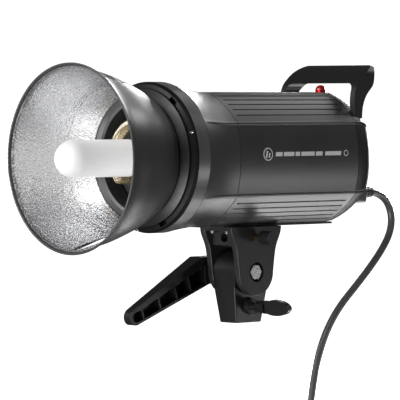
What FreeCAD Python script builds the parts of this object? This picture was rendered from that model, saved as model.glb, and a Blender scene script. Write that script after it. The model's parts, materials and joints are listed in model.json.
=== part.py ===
import FreeCAD, Part
import math
import os

# Studio monolight strobe on its tilting stand bracket, with reflector, modelling lamp and mains lead.
# Millimetres. +Z up, the lamp shines along -Y, +X is the lamp's left side seen from the back.
# The origin is the centre of the stand socket's mouth, so the beam axis runs AXIS_Z above it.

V = FreeCAD.Vector
os.makedirs("parts", exist_ok=True)

# ---- driving dimensions ----
AXIS_Z = 161.0            # beam axis above the socket's mouth
RIM_Y = -219.0            # reflector rim, measured from the stand axis
RIM_R = 89.0              # a 7 inch (178 mm) reflector
BELL_LENGTH = 86.0
SHEET = 1.2               # spun aluminium
NECK_R = 56.2
THROAT_R = 51.4
RING_FACE = 92.0          # stations: distance behind the reflector's rim
RING_EDGE = 97.0
RING_R = 71.4
RING_BACK = 104.0
PLATE_THICK = 4.0
BULKHEAD_THICK = 3.0
BEZEL_END = 112.0
SHROUD_END = 160.0
SHELL_END = 320.0
COVER_END = 345.0
WALL_SCALE = 0.958        # inner outline of the housing, about 2.5 mm inside the outer one
SECTION_CENTRE_Z = -2.0
LUG_COUNT = 3
NOTCH_ANGLE = 53.0        # degrees from +X towards +Z, one of the three bayonet notches
LOCK_TURN = 20.0          # turn of the reflector from locked to free
LAMP_R = 17.5
LAMP_TIP = -13.7
TUBE_RING_R = 33.0
TUBE_R = 4.8
AXLE_Z = 49.3             # tilt axle above the socket's mouth
EAR_IN = 15.4
EAR_OUT = 22.4
EAR_SOFT = 1.0            # rounding of the bracket's edges
HEAD_SOFT = 1.2
HEAD_TAPER_TOP = 34.0     # the stand head tapers below this height
HEAD_HALF = 14.6
BOLT_R = 4.95
BOLT_HOLE_R = 5.0
SOCKET_R = 8.1            # takes a 16 mm (5/8 inch) stand spigot
SOCKET_DEPTH = 26.0
CLAMP_Z = 16.0
UMBRELLA_Z = 82.7
UMBRELLA_R = 4.75
SHAFT_HOLE_R = 6.0        # hole through the reflector's wall in line with the umbrella hole
CORD_R = 3.5
COIL_R = 36.0             # mid-turn radius of the put-away coil
COIL_BUNDLE_R = 11.6      # seven strands in a ring
ARC_SHARE = 0.45          # part of the shorter run that each arc of the lead takes up

BEAM = V(0, RIM_Y, AXIS_Z)


def save(name, *solids):
    shape = solids[0] if len(solids) == 1 else Part.makeCompound(list(solids))
    shape.exportStep("parts/" + name + ".step")


def save_on_beam(name, *solids):
    """Solids drawn at stations behind the rim, moved to the row frame."""
    save(name, *[s.translated(BEAM) for s in solids])


def cylinder(r, length, at, along):
    return Part.makeCylinder(r, length, V(*at), V(*along))


def tube(r_out, r_in, length, at, along):
    return cylinder(r_out, length, at, along).cut(cylinder(r_in, length, at, along))


def block(x, y, z):
    return Part.makeBox(x[1] - x[0], y[1] - y[0], z[1] - z[0], V(x[0], y[0], z[0]))


def rounded(shape, along, r):
    """Fillets the straight edges that run along one axis."""
    edges = []
    for e in shape.Edges:
        if e.Curve.TypeId == "Part::GeomLine" and abs(e.tangentAt(e.FirstParameter).dot(V(*along))) > 0.999:
            edges.append(e)
    return shape.makeFillet(r, edges)


def lathe(profile, x=0.0, z=0.0):
    """Turned solid about the Y direction from (radius, station) points."""
    points = [V(x + r, s, z) for r, s in profile]
    face = Part.Face(Part.makePolygon(points + points[:1]))
    return face.revolve(V(x, 0, z), V(0, 1, 0), 360)


def curve(points):
    c = Part.BSplineCurve()
    c.interpolate(points)
    return c.toShape()


def line(a, b):
    return Part.makeLine(a, b)


def plate_yz(edges, x0, x1):
    """Plate from a closed outline drawn in the plane x = 0."""
    face = Part.Face(Part.Wire(edges))
    return face.extrude(V(x1 - x0, 0, 0)).translated(V(x0, 0, 0))


def polygon_yz(points, x0, x1):
    corners = [V(0, y, z) for y, z in points]
    face = Part.Face(Part.makePolygon(corners + corners[:1]))
    return face.extrude(V(x1 - x0, 0, 0)).translated(V(x0, 0, 0))


def polygon_xz(points, y0, y1):
    corners = [V(x, 0, z) for x, z in points]
    face = Part.Face(Part.makePolygon(corners + corners[:1]))
    return face.extrude(V(0, y1 - y0, 0)).translated(V(0, y0, 0))


def joined(shapes):
    return shapes[0].multiFuse(shapes[1:]).removeSplitter()


# ---- housing outline: twelve arcs, blended into a circle towards the front ----
RIGHT_SIDE = [
    ((17.0, 61.2), (38.0, 49.6), (55.2, 34.0)),
    ((55.2, 34.0), (57.4, 32.4), (56.9, 30.2)),
    ((56.9, 30.2), (61.5, -2.0), (56.9, -34.4)),
    ((56.9, -34.4), (57.4, -36.6), (55.2, -38.2)),
    ((55.2, -38.2), (39.5, -52.8), (18.0, -65.2)),
]
TOP_ARC = ((-17.0, 61.2), (0.0, 61.9), (17.0, 61.2))
BOTTOM_ARC = ((18.0, -65.2), (0.0, -65.6), (-18.0, -65.2))


def outline(station, scale=1.0, round_part=0.0, round_r=71.3):
    left_side = []
    for a, b, c in reversed(RIGHT_SIDE):
        left_side.append(((-c[0], c[1]), (-b[0], b[1]), (-a[0], a[1])))
    arcs = [TOP_ARC] + RIGHT_SIDE + [BOTTOM_ARC] + left_side
    edges = []
    for arc in arcs:
        points = []
        for x, z in arc:
            length = math.hypot(x, z)
            x_mix = x * (1 - round_part) + round_r * x / length * round_part
            z_mix = z * (1 - round_part) + round_r * z / length * round_part
            middle = SECTION_CENTRE_Z * (1 - round_part)
            points.append(V(x_mix * scale, station, middle + (z_mix - middle) * scale))
        edges.append(Part.Arc(points[0], points[1], points[2]).toShape())
    return Part.Wire(edges)


def housing_prism(start, end, scale=1.0):
    return Part.Face(outline(start, scale)).extrude(V(0, end - start, 0))


def joint_groove(station):
    """Thin ring cut round the housing where two mouldings meet."""
    outer = housing_prism(station - 0.3, station + 0.3, 1.05)
    return outer.cut(housing_prism(station - 0.3, station + 0.3, 0.986))


# ---- reflector: spun bell with a rolled rim ----
BELL = [(0.0, RIM_R - 0.4), (6.0, 86.0), (25.0, 81.4), (42.6, 76.2), (58.0, 70.9), (67.6, 66.6),
        (76.0, 62.4), (82.0, 59.3), (BELL_LENGTH, NECK_R)]
outer_side = curve([V(r, s, 0) for s, r in BELL])
inner_side = curve([V(r - SHEET, s, 0) for s, r in reversed(BELL[:-1])])
back_outer = V(NECK_R, BELL_LENGTH, 0)
back_inner = V(THROAT_R, BELL_LENGTH, 0)
front_wall = V(THROAT_R, BELL_LENGTH - SHEET, 0)
wall_start = V(BELL[-2][1] - SHEET, BELL[-2][0], 0)
wall_turn = V(NECK_R - 1.6, BELL_LENGTH - SHEET, 0)
rim_out = V(BELL[0][1], 0, 0)
rim_in = V(BELL[0][1] - SHEET, 0, 0)
bell_wire = Part.Wire([outer_side, line(back_outer, back_inner), line(back_inner, front_wall),
                       line(front_wall, wall_turn), line(wall_turn, wall_start), inner_side,
                       line(rim_in, rim_out)])
bell = Part.Face(bell_wire).revolve(V(0, 0, 0), V(0, 1, 0), 360)
rolled_rim = Part.makeTorus(RIM_R - 1.1, 1.1, V(0, 0.2, 0), V(0, 1, 0))
shaft_hole = cylinder(SHAFT_HOLE_R, 50.0, (0, 10.0, UMBRELLA_Z - AXIS_Z), (0, 1, 0))
save_on_beam("reflector", joined([bell, rolled_rim]).cut(shaft_hole))

# ---- bayonet collar riveted to the bell ----
COLLAR_TUBE_R = 54.4
LUG_R = 63.6
LUG_ANGLE = NOTCH_ANGLE + LOCK_TURN
collar = lathe([(51.6, 86.0), (57.2, 86.0), (65.0, 90.2), (65.0, 91.6), (COLLAR_TUBE_R, 91.6),
                (COLLAR_TUBE_R, 99.5), (51.6, 99.5)])
lugs = []
for k in range(LUG_COUNT):
    lug = block((COLLAR_TUBE_R - 0.8, LUG_R), (97.0, 99.5), (-4.0, 4.0))
    lugs.append(lug.rotated(V(0, 0, 0), V(0, 1, 0), -(LUG_ANGLE + 360.0 / LUG_COUNT * k)))
save_on_beam("reflector_collar", joined([collar] + lugs))

# ---- mount ring of the housing: lip, cavity for the lugs, three notches ----
ring = lathe([(54.8, RING_FACE), (66.0, RING_FACE), (69.4, 93.2), (71.0, 95.2), (RING_R, RING_EDGE),
              (67.3, RING_EDGE), (67.3, RING_BACK), (49.5, RING_BACK), (49.5, 100.0), (64.8, 100.0),
              (64.8, 96.6), (54.8, 96.6)])
for k in range(LUG_COUNT):
    notch = block((54.0, 68.6), (RING_FACE - 1, 96.8), (-4.8, 4.8))
    ring = ring.cut(notch.rotated(V(0, 0, 0), V(0, 1, 0), -(NOTCH_ANGLE + 360.0 / LUG_COUNT * k)))
RING_SCREW_ANGLE = 21.0
RING_SCREW_R = 68.4
ring_screws = []
for k in range(LUG_COUNT):
    a = math.radians(RING_SCREW_ANGLE + 360.0 / LUG_COUNT * k)
    x = RING_SCREW_R * math.cos(a)
    z = RING_SCREW_R * math.sin(a)
    seat = cylinder(2.1, 6.0, (x, 91.0, z), (0, 1, 0))
    ring = ring.cut(seat)
    head = tube(2.1, 0.9, 1.6, (x, 92.4, z), (0, 1, 0))
    ring_screws.append(joined([head, cylinder(2.1, 3.0, (x, 94.0, z), (0, 1, 0))]))
LOCK_PIN_R = 1.6
LOCK_AT = -62.0
PIN_TIP = 95.6            # drawn back inside its hole in the ring's lip
LOCK_TILT = 45.0          # the lock sits this far above the -X side, clear of the lugs' travel


def at_lock(shape):
    """Turns a shape drawn on the -X side to the place of the lock."""
    return shape.rotated(V(0, 0, 0), V(0, 1, 0), LOCK_TILT)


slider_slot = at_lock(block((-80.0, -65.4), (99.0, 110.4), (-4.3, 4.3)))
arm_slot = at_lock(block((-66.4, -59.0), (103.0, 110.4), (-4.3, 4.3)))
ring = ring.cut(at_lock(cylinder(LOCK_PIN_R + 0.3, 20, (LOCK_AT, 90.0, 0), (0, 1, 0))))
ring = ring.cut(slider_slot)
save_on_beam("mount_ring", ring)
save_on_beam("mount_screws", *ring_screws)

# ---- bezel band and the release slider with its lock pin ----
bezel = tube(71.5, 67.5, BEZEL_END - RING_EDGE, (0, RING_EDGE, 0), (0, 1, 0))
bezel_line = tube(73.0, 71.0, 0.6, (0, BEZEL_END - 0.6, 0), (0, 1, 0))
save_on_beam("front_bezel", bezel.cut(bezel_line).cut(slider_slot))
SLIDER_FRONT = 99.3
button = block((-75.0, -66.0), (SLIDER_FRONT, SLIDER_FRONT + 7.0), (-4.0, 4.0))
button = rounded(button, (1, 0, 0), 1.2)
save_on_beam("release_slider", at_lock(button))
ARM_FRONT = 104.4
ARM_BACK = 106.0
pin = cylinder(LOCK_PIN_R, ARM_BACK - PIN_TIP, (LOCK_AT, PIN_TIP, 0), (0, 1, 0))
pin_arm = block((-66.0, LOCK_AT), (ARM_FRONT, ARM_BACK), (-3.0, 3.0))
save_on_beam("lock_pin", at_lock(joined([pin, pin_arm])))

# ---- lamp plate, flash tube, lamp socket and modelling lamp ----
SOCKET_OUT_R = 18.0
LEG_X = 26.0
LEG_Z = -math.sqrt(TUBE_RING_R ** 2 - LEG_X ** 2)
TUBE_STATION = 84.0
LAMP_PLATE_R = 60.0
SOCKET_HOLE_R = SOCKET_OUT_R + 0.1
lamp_plate = tube(LAMP_PLATE_R, SOCKET_HOLE_R, PLATE_THICK, (0, RING_BACK, 0), (0, 1, 0))
for side in (-1, 1):
    boss = cylinder(7.5, 8.0, (side * LEG_X, 97.0, LEG_Z), (0, 1, 0))
    lamp_plate = lamp_plate.fuse(boss)
    lamp_plate = lamp_plate.cut(cylinder(TUBE_R + 0.1, 14, (side * LEG_X, 95.0, LEG_Z), (0, 1, 0)))
lamp_plate = lamp_plate.cut(arm_slot)
save_on_beam("lamp_plate", lamp_plate.removeSplitter())

gap = math.degrees(math.atan2(-LEG_Z, LEG_X))
ring_arc = Part.makeCircle(TUBE_RING_R, V(0, TUBE_STATION, 0), V(0, -1, 0), -gap, 180.0 + gap)
arc_ends = [ring_arc.Vertexes[0].Point, ring_arc.Vertexes[-1].Point]
ring_section = Part.Wire(Part.makeCircle(TUBE_R, arc_ends[0], ring_arc.tangentAt(ring_arc.FirstParameter)))
glass_ring = Part.Wire(ring_arc).makePipeShell([ring_section], True, True)
glass_parts = [glass_ring]
for end in arc_ends:
    glass_parts.append(Part.makeSphere(TUBE_R, end))
    leg_length = RING_BACK + PLATE_THICK - TUBE_STATION
    glass_parts.append(cylinder(TUBE_R, leg_length, (end.x, end.y, end.z), (0, 1, 0)))
save_on_beam("flash_tube", joined(glass_parts))

CAP_R = 13.2
GLASS = 1.0
SHOULDER = 72.0           # where the lamp's tube narrows to its neck
NECK_START = 82.0
NECK_END = 86.0
neck_r = CAP_R - 0.6
dome_centre = LAMP_TIP + LAMP_R
dome_mid = V(LAMP_R * math.sin(math.pi / 4), dome_centre - LAMP_R * math.cos(math.pi / 4), 0)
inner_r = LAMP_R - GLASS
inner_mid = V(inner_r * math.sin(math.pi / 4), dome_centre - inner_r * math.cos(math.pi / 4), 0)
lamp_wire = Part.Wire([
    Part.Arc(V(0, LAMP_TIP, 0), dome_mid, V(LAMP_R, dome_centre, 0)).toShape(),
    line(V(LAMP_R, dome_centre, 0), V(LAMP_R, SHOULDER, 0)),
    line(V(LAMP_R, SHOULDER, 0), V(neck_r, NECK_START, 0)),
    line(V(neck_r, NECK_START, 0), V(neck_r, NECK_END, 0)),
    line(V(neck_r, NECK_END, 0), V(neck_r - GLASS, NECK_END, 0)),
    line(V(neck_r - GLASS, NECK_END, 0), V(neck_r - GLASS, NECK_START - 0.4, 0)),
    line(V(neck_r - GLASS, NECK_START - 0.4, 0), V(inner_r, SHOULDER - 0.4, 0)),
    line(V(inner_r, SHOULDER - 0.4, 0), V(inner_r, dome_centre, 0)),
    Part.Arc(V(inner_r, dome_centre, 0), inner_mid, V(0, LAMP_TIP + GLASS, 0)).toShape(),
    line(V(0, LAMP_TIP + GLASS, 0), V(0, LAMP_TIP, 0)),
])
save_on_beam("modelling_lamp", Part.Face(lamp_wire).revolve(V(0, 0, 0), V(0, 1, 0), 360))

CAP_END = 108.5
CAP_TURNS = 5
CAP_PITCH = 3.0
cap_profile = [(0.0, NECK_END), (CAP_R, NECK_END)]
for k in range(CAP_TURNS):
    turn = NECK_END + 2.0 + CAP_PITCH * k
    cap_profile += [(CAP_R, turn), (CAP_R - 0.9, turn + CAP_PITCH / 2)]
cap_profile += [(CAP_R, 103.0), (CAP_R - 5.0, CAP_END - 1.0), (4.0, CAP_END), (0.0, CAP_END)]
save_on_beam("lamp_cap", lathe(cap_profile))
SOCKET_FRONT = 89.0
SOCKET_END = 122.0
socket_bore_r = CAP_R + 0.4
lamp_socket = lathe([(socket_bore_r, SOCKET_FRONT), (SOCKET_OUT_R - 1.5, SOCKET_FRONT),
                     (SOCKET_OUT_R, SOCKET_FRONT + 1.5), (SOCKET_OUT_R, SOCKET_END), (0.0, SOCKET_END),
                     (0.0, CAP_END), (socket_bore_r, CAP_END)])
save_on_beam("lamp_socket", lamp_socket)

BULKHEAD_R = 67.2
bulkhead = tube(BULKHEAD_R, SOCKET_HOLE_R, BULKHEAD_THICK, (0, RING_BACK + PLATE_THICK, 0), (0, 1, 0))
save_on_beam("front_bulkhead", bulkhead.cut(arm_slot).cut(slider_slot))

# ---- front shroud: round at the bezel, the housing's outline at the back ----
SHROUD_STATIONS = [(0.0, 1.0), (0.22, 0.62), (0.45, 0.31), (0.7, 0.09), (1.0, 0.0)]


def shroud_form(scale):
    wires = []
    for part, round_part in SHROUD_STATIONS:
        station = BEZEL_END + (SHROUD_END - BEZEL_END) * part
        wires.append(outline(station, scale, round_part))
    return Part.makeLoft(wires, True, False)


shroud = shroud_form(1.0).cut(shroud_form(WALL_SCALE)).cut(joint_groove(SHROUD_END))
save_on_beam("front_shroud", shroud)

# ---- main shell with cooling ribs on the four sloping faces ----
RIB_GROOVES = 5
GROOVE_R = 0.9
shell = housing_prism(SHROUD_END, SHELL_END).cut(housing_prism(SHROUD_END, SHELL_END, WALL_SCALE))
grooves = []
for a, b, c in (RIGHT_SIDE[0], RIGHT_SIDE[4]):
    face_arc = Part.Arc(V(a[0], 0, a[1]), V(b[0], 0, b[1]), V(c[0], 0, c[1])).toShape()
    for point in face_arc.discretize(Number=RIB_GROOVES + 2)[1:-1]:
        for side in (-1, 1):
            at = (side * point.x, SHROUD_END + 6.0, point.z)
            grooves.append(cylinder(GROOVE_R, SHELL_END - SHROUD_END - 12.0, at, (0, 1, 0)))
shell = shell.cut(Part.makeCompound(grooves)).cut(joint_groove(SHROUD_END)).cut(joint_groove(SHELL_END))
VENTS = 6
VENT_START = 262.0
VENT_PITCH = 8.0
VENT_X = -36.0           # only on the side of the tilt lever
vents = []
for k in range(VENTS):
    station = VENT_START + VENT_PITCH * k
    vents.append(block((VENT_X - 3.5, VENT_X + 3.5), (station, station + 3.0), (-62.0, -44.0)))
shell = shell.cut(Part.makeCompound(vents))
save_on_beam("main_shell", shell)

# ---- bottom rail that the stand bracket is screwed to ----
RAIL_BOTTOM = -67.8
RAIL_TOP = -65.6
RAIL_HALF = 17.0
RAIL_END = SHELL_END + 8.0
rail = block((-RAIL_HALF, RAIL_HALF), (SHROUD_END + 2, RAIL_END), (RAIL_BOTTOM, RAIL_TOP))
for x in (-14.6, 14.6):
    edge_line = block((x - 0.5, x + 0.5), (SHROUD_END, RAIL_END + 2), (RAIL_BOTTOM - 1, RAIL_BOTTOM + 0.7))
    rail = rail.cut(edge_line)

# ---- rear cover: rounded end of the housing with a window for the control panel ----
PANEL_FACE = 334.0
PANEL_HALF = 37.0
PANEL_BOTTOM = -51.5
PANEL_TOP = 38.0
LEDGE = 2.5
COVER_SECTIONS = [(SHELL_END, 1.0), (328.0, 0.99), (334.0, 0.965), (339.0, 0.925), (345.5, 0.84)]
cover = Part.makeLoft([outline(s, k) for s, k in COVER_SECTIONS], True, False)
BARREL_R = 110.0
barrel = cylinder(BARREL_R, 200.0, (-100.0, COVER_END - BARREL_R, -4.0), (1, 0, 0))
cover = cover.common(barrel)
cover = cover.cut(housing_prism(SHELL_END, PANEL_FACE - 3.0, 0.93))
cover = cover.cut(block((-PANEL_HALF, PANEL_HALF), (325.0, PANEL_FACE), (PANEL_BOTTOM, PANEL_TOP)))
window_half = PANEL_HALF - LEDGE
window = block((-window_half, window_half), (325.0, 360.0), (PANEL_BOTTOM + LEDGE, PANEL_TOP - LEDGE))
cover = cover.cut(rounded(window, (0, 1, 0), 4.0)).cut(joint_groove(SHELL_END))
rail_seat = block((-RAIL_HALF, RAIL_HALF), (SHROUD_END, RAIL_END), (-80.0, RAIL_TOP))
cover = cover.cut(rail_seat)

# ---- carrying handle: a swept arch across the rear cover ----
HANDLE_HALF = 51.6
HANDLE_THICK = 6.2
front_edge = curve([V(0, s, z) for s, z in ((323.7, 36.0), (323.7, 50.0), (324.7, 61.7), (327.6, 68.6),
                                            (334.0, 75.2), (344.3, 83.0), (355.0, 88.4))])
rear_edge = curve([V(0, s, z) for s, z in ((356.0, 86.6), (352.4, 79.0), (350.9, 70.0), (343.8, 61.8),
                                           (338.3, 53.9), (335.7, 46.0), (335.0, 36.0))])
handle = plate_yz([front_edge, line(V(0, 355.0, 88.4), V(0, 356.0, 86.6)), rear_edge,
                   line(V(0, 335.0, 36.0), V(0, 323.7, 36.0))], -HANDLE_HALF, HANDLE_HALF)
arch = rounded(block((-HANDLE_HALF, HANDLE_HALF), (300.0, 380.0), (20.0, 88.5)), (0, 1, 0), 11.0)
opening_half = HANDLE_HALF - HANDLE_THICK
opening = rounded(block((-opening_half, opening_half), (300.0, 380.0), (0.0, 70.4)), (0, 1, 0), 7.0)
handle = handle.common(arch).cut(opening)
handle = handle.cut(cover)
handle = max(handle.Solids, key=lambda s: s.Volume)
cover = max(cover.Solids, key=lambda s: s.Volume)
save_on_beam("handle", handle)
save_on_beam("rear_cover", cover)
save_on_beam("bottom_rail", rail)

# ---- control panel and what is mounted on it ----
PANEL_BACK = PANEL_FACE - 3.0
KEY_BACK = PANEL_FACE - 4.8
panel = block((-PANEL_HALF, PANEL_HALF), (PANEL_BACK, PANEL_FACE), (PANEL_BOTTOM, PANEL_TOP))
DISPLAY = ((-24.0, 24.0), (17.0, 33.0))
DIAL = (-17.0, -2.0)
DIAL_R = 12.0
BUTTON_X = (7.0, 20.0)
BUTTON_Z = (6.0, -6.0)
TEST_AT = (30.0, 0.0)
ROCKER = (-20.0, -32.0)
FUSE = (-3.0, -34.0)
INLET = (20.0, -38.0)
SYNC = (28.5, -18.0)
INLET_HALF = (13.8, 10.0)
KEY = (8.0, 5.0)
KEY_GAP = 0.3


def panel_window(centre, half_width, half_height):
    """Cutter for a square-cornered hole right through the panel."""
    x, z = centre
    depth = (PANEL_BACK - 1, PANEL_FACE + 2)
    return block((x - half_width, x + half_width), depth, (z - half_height, z + half_height))


def panel_hole(centre, r):
    return cylinder(r, 8.0, (centre[0], PANEL_BACK - 2, centre[1]), (0, 1, 0))


panel = panel.cut(panel_window((0.0, 25.0), 23.0, 7.0))
panel = panel.cut(panel_hole(DIAL, 3.3))
panel = panel.cut(panel_window(ROCKER, 7.0, 9.6))
panel = panel.cut(panel_hole(FUSE, 6.4))
panel = panel.cut(panel_hole(SYNC, 4.0))
panel = panel.cut(panel_window(INLET, INLET_HALF[0], INLET_HALF[1]))
for x in BUTTON_X:
    for z in BUTTON_Z:
        panel = panel.cut(panel_window((x, z), KEY[0] / 2 + KEY_GAP, KEY[1] / 2 + KEY_GAP))
panel = panel.cut(panel_hole(TEST_AT, 3.3))
save_on_beam("control_panel", panel)

glass = rounded(block(DISPLAY[0], (PANEL_FACE, PANEL_FACE + 1.0), DISPLAY[1]), (0, 1, 0), 1.5)
display_core = block((-22.8, 22.8), (327.6, PANEL_FACE), (18.2, 31.8))
save_on_beam("display_window", glass.fuse(display_core))

dial = lathe([(0.0, PANEL_FACE + 0.4), (DIAL_R, PANEL_FACE + 0.4), (DIAL_R, 344.0), (DIAL_R - 1.2, 345.4),
              (0.0, 345.4)], DIAL[0], DIAL[1])
FLUTES = 20
flutes = []
for k in range(FLUTES):
    a = 2 * math.pi * k / FLUTES
    at = (DIAL[0] + (DIAL_R + 0.3) * math.cos(a), 335.6, DIAL[1] + (DIAL_R + 0.3) * math.sin(a))
    flutes.append(cylinder(0.9, 12, at, (0, 1, 0)))
dial = dial.cut(Part.makeCompound(flutes))
pointer = block((DIAL[0] - 0.5, DIAL[0] + 0.5), (344.9, 346.0), (DIAL[1] + 4.0, DIAL[1] + 10.0))
dial = dial.cut(pointer).fuse(cylinder(3.2, 5.4, (DIAL[0], 329.2, DIAL[1]), (0, 1, 0)))
save_on_beam("power_dial", dial)

names = ("lamp_button", "sound_button", "slave_button", "channel_button")
places = [(x, z) for x in BUTTON_X for z in BUTTON_Z]
for name, (x, z) in zip(names, places):
    depth = (KEY_BACK, PANEL_FACE + 1.8)
    key = block((x - KEY[0] / 2, x + KEY[0] / 2), depth, (z - KEY[1] / 2, z + KEY[1] / 2))
    save_on_beam(name, rounded(key, (0, 1, 0), 1.0))
test_top = PANEL_FACE + 2.2
test_key = lathe([(0.0, KEY_BACK), (3.0, KEY_BACK), (3.0, test_top - 0.6), (2.4, test_top),
                  (0.0, test_top)],
                 *TEST_AT)
save_on_beam("test_button", test_key)


def round_rocker(half_width, half_height, start, end):
    x, z = ROCKER
    return block((x - half_width, x + half_width), (start, end), (z - half_height, z + half_height))


frame = rounded(round_rocker(9.0, 12.0, PANEL_FACE, PANEL_FACE + 1.2), (0, 1, 0), 1.5)
frame = frame.fuse(round_rocker(6.8, 9.4, 320.0, PANEL_FACE + 1.2))
frame = frame.cut(round_rocker(5.6, 8.2, 323.0, PANEL_FACE + 2.0))
ROCKER_PIVOT = 330.0
PIVOT_R = 1.2
pivot_at = (ROCKER[0] - 7.0, ROCKER_PIVOT, ROCKER[1])
frame = frame.cut(cylinder(PIVOT_R + 0.05, 14.0, pivot_at, (1, 0, 0)))
save_on_beam("switch_frame", frame)
rocker = polygon_yz([(325.2, ROCKER[1] - 2.6), (325.2, ROCKER[1] + 2.6), (332.0, ROCKER[1] + 7.0),
                     (336.2, ROCKER[1] + 7.0), (333.8, ROCKER[1]), (336.2, ROCKER[1] - 7.0),
                     (332.0, ROCKER[1] - 7.0)], ROCKER[0] - 5.2, ROCKER[0] + 5.2)
ROCKER_REST = 9.0
rocker = rocker.rotated(V(ROCKER[0], ROCKER_PIVOT, ROCKER[1]), V(1, 0, 0), ROCKER_REST)
rocker_pin = cylinder(PIVOT_R, 12.6, (ROCKER[0] - 6.3, ROCKER_PIVOT, ROCKER[1]), (1, 0, 0))
save_on_beam("power_rocker", rocker.fuse(rocker_pin))

FUSE_BORE_R = 4.7
FUSE_FLANGE_R = 7.6
flange_top = PANEL_FACE + 1.4
fuse_body = lathe([(0.0, 312.0), (6.2, 312.0), (6.2, PANEL_FACE), (FUSE_FLANGE_R, PANEL_FACE),
                   (FUSE_FLANGE_R, flange_top), (FUSE_BORE_R, flange_top),
                   (FUSE_BORE_R, 316.0), (0.0, 316.0)],
                  *FUSE)
save_on_beam("fuse_holder", fuse_body)
fuse_cap = lathe([(0.0, 317.0), (4.4, 317.0), (4.4, 335.8), (6.6, 335.8), (6.6, 339.6), (0.0, 339.6)],
                 *FUSE)
coin_slot = block((FUSE[0] - 5.0, FUSE[0] + 5.0), (338.4, 341.0), (FUSE[1] - 0.7, FUSE[1] + 0.7))
save_on_beam("fuse_cap", fuse_cap.cut(coin_slot))

JACK_R = 1.8
sync = cylinder(3.9, 22.0, (SYNC[0], 314.0, SYNC[1]), (0, 1, 0))
NUT_CORNER_R = 5.4
nut_corners = []
for k in range(7):
    a = math.pi / 3 * k
    corner = (SYNC[0] + NUT_CORNER_R * math.cos(a), PANEL_FACE, SYNC[1] + NUT_CORNER_R * math.sin(a))
    nut_corners.append(V(*corner))
nut = Part.Face(Part.makePolygon(nut_corners)).extrude(V(0, 1.6, 0))
jack_bore = cylinder(JACK_R, 15.0, (SYNC[0], 322.0, SYNC[1]), (0, 1, 0))
sync = sync.fuse(nut).cut(jack_bore)
save_on_beam("sync_socket", sync)


def round_inlet(half_width, half_height, start, end):
    x, z = INLET
    return block((x - half_width, x + half_width), (start, end), (z - half_height, z + half_height))


inlet = rounded(round_inlet(13.6, 9.8, 314.0, PANEL_FACE), (0, 1, 0), 1.5)
inlet = inlet.cut(round_inlet(12.0, 8.0, 317.0, 340.0))
save_on_beam("mains_inlet", inlet)

# ---- slave sensor dome, screws ----
DOME_R = 5.2
DOME_STATION = 329.0
DOME_CENTRE_Z = 63.6
dome = Part.makeSphere(DOME_R, V(0, DOME_STATION, DOME_CENTRE_Z))
dome = dome.fuse(cylinder(DOME_R, 5.0, (0, DOME_STATION, DOME_CENTRE_Z - 5.0), (0, 0, 1)))
dome = dome.cut(cover).cut(housing_prism(SHELL_END, 340.0, 0.95))
dome = max(dome.Solids, key=lambda s: s.BoundBox.ZMax)
save_on_beam("slave_dome", dome)

cover_screws = []
for x, z in ((-31.0, -46.4), (-31.0, 33.0), (31.0, 33.0)):
    screw = tube(1.8, 0.8, 1.2, (x, PANEL_FACE, z), (0, 1, 0))
    cover_screws.append(screw.fuse(cylinder(1.8, 0.4, (x, PANEL_FACE, z), (0, 1, 0))))
save_on_beam("panel_screws", *cover_screws)

# ---- electronics inside the shell ----
TRAY_TOP = -50.0
tray = block((-36.0, 36.0), (166.0, 312.0), (TRAY_TOP - 1.5, TRAY_TOP))
save_on_beam("chassis_tray", tray)
CAP_BODY_R = 17.0
capacitors = []
for x in (-18.0, 18.0):
    for z in (TRAY_TOP + CAP_BODY_R, TRAY_TOP + 3 * CAP_BODY_R + 0.6):
        can = cylinder(CAP_BODY_R, 86.0, (x, 172.0, z), (0, 1, 0))
        ends = [e for e in can.Edges if e.Curve.TypeId == "Part::GeomCircle"]
        capacitors.append(can.makeFillet(1.5, ends))
save_on_beam("capacitors", *capacitors)
board = block((44.0, 45.6), (170.0, 286.0), (-36.0, 30.0))
save_on_beam("power_board", board)
transformer = joined([block((-14.0, 14.0), (262.0, 286.0), (TRAY_TOP, -16.0)),
                      block((-20.0, 20.0), (267.0, 281.0), (TRAY_TOP, -20.0))])
save_on_beam("transformer", transformer)
FAN_Z = TRAY_TOP + 40.0
FAN_START = 290.0
FAN_DEPTH = 18.0
FAN_HALF = 40.0
SPOKE_THICK = 2.5
fan_depth = (FAN_START, FAN_START + FAN_DEPTH)
fan_frame = block((-FAN_HALF, FAN_HALF), fan_depth, (FAN_Z - FAN_HALF, FAN_Z + FAN_HALF))
fan_bore = cylinder(FAN_HALF - 2.4, FAN_DEPTH, (0, FAN_START, FAN_Z), (0, 1, 0))
fan_frame = rounded(fan_frame, (0, 1, 0), 4.0).cut(fan_bore)
fan_frame = fan_frame.fuse(cylinder(14.0, SPOKE_THICK, (0, FAN_START, FAN_Z), (0, 1, 0)))
for k in range(3):
    spoke = block((0.0, FAN_HALF - 1.0), (FAN_START, FAN_START + SPOKE_THICK), (FAN_Z - 1.5, FAN_Z + 1.5))
    fan_frame = fan_frame.fuse(spoke.rotated(V(0, 0, FAN_Z), V(0, 1, 0), 90.0 + 120.0 * k))
save_on_beam("fan_frame", fan_frame.removeSplitter())
BLADES = 7
rotor_parts = [cylinder(13.5, 14.0, (0, 293.2, FAN_Z), (0, 1, 0))]
for k in range(BLADES):
    blade = block((12.0, 36.6), (299.2, 300.6), (FAN_Z - 6.0, FAN_Z + 6.0))
    blade = blade.rotated(V(0, 299.9, FAN_Z), V(1, 0, 0), 32.0)
    rotor_parts.append(blade.rotated(V(0, 0, FAN_Z), V(0, 1, 0), 360.0 / BLADES * k))
save_on_beam("fan_rotor", joined(rotor_parts))
save_on_beam("control_board", block((-34.0, 7.4), (326.0, 327.4), (-18.0, 36.0)))

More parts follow.
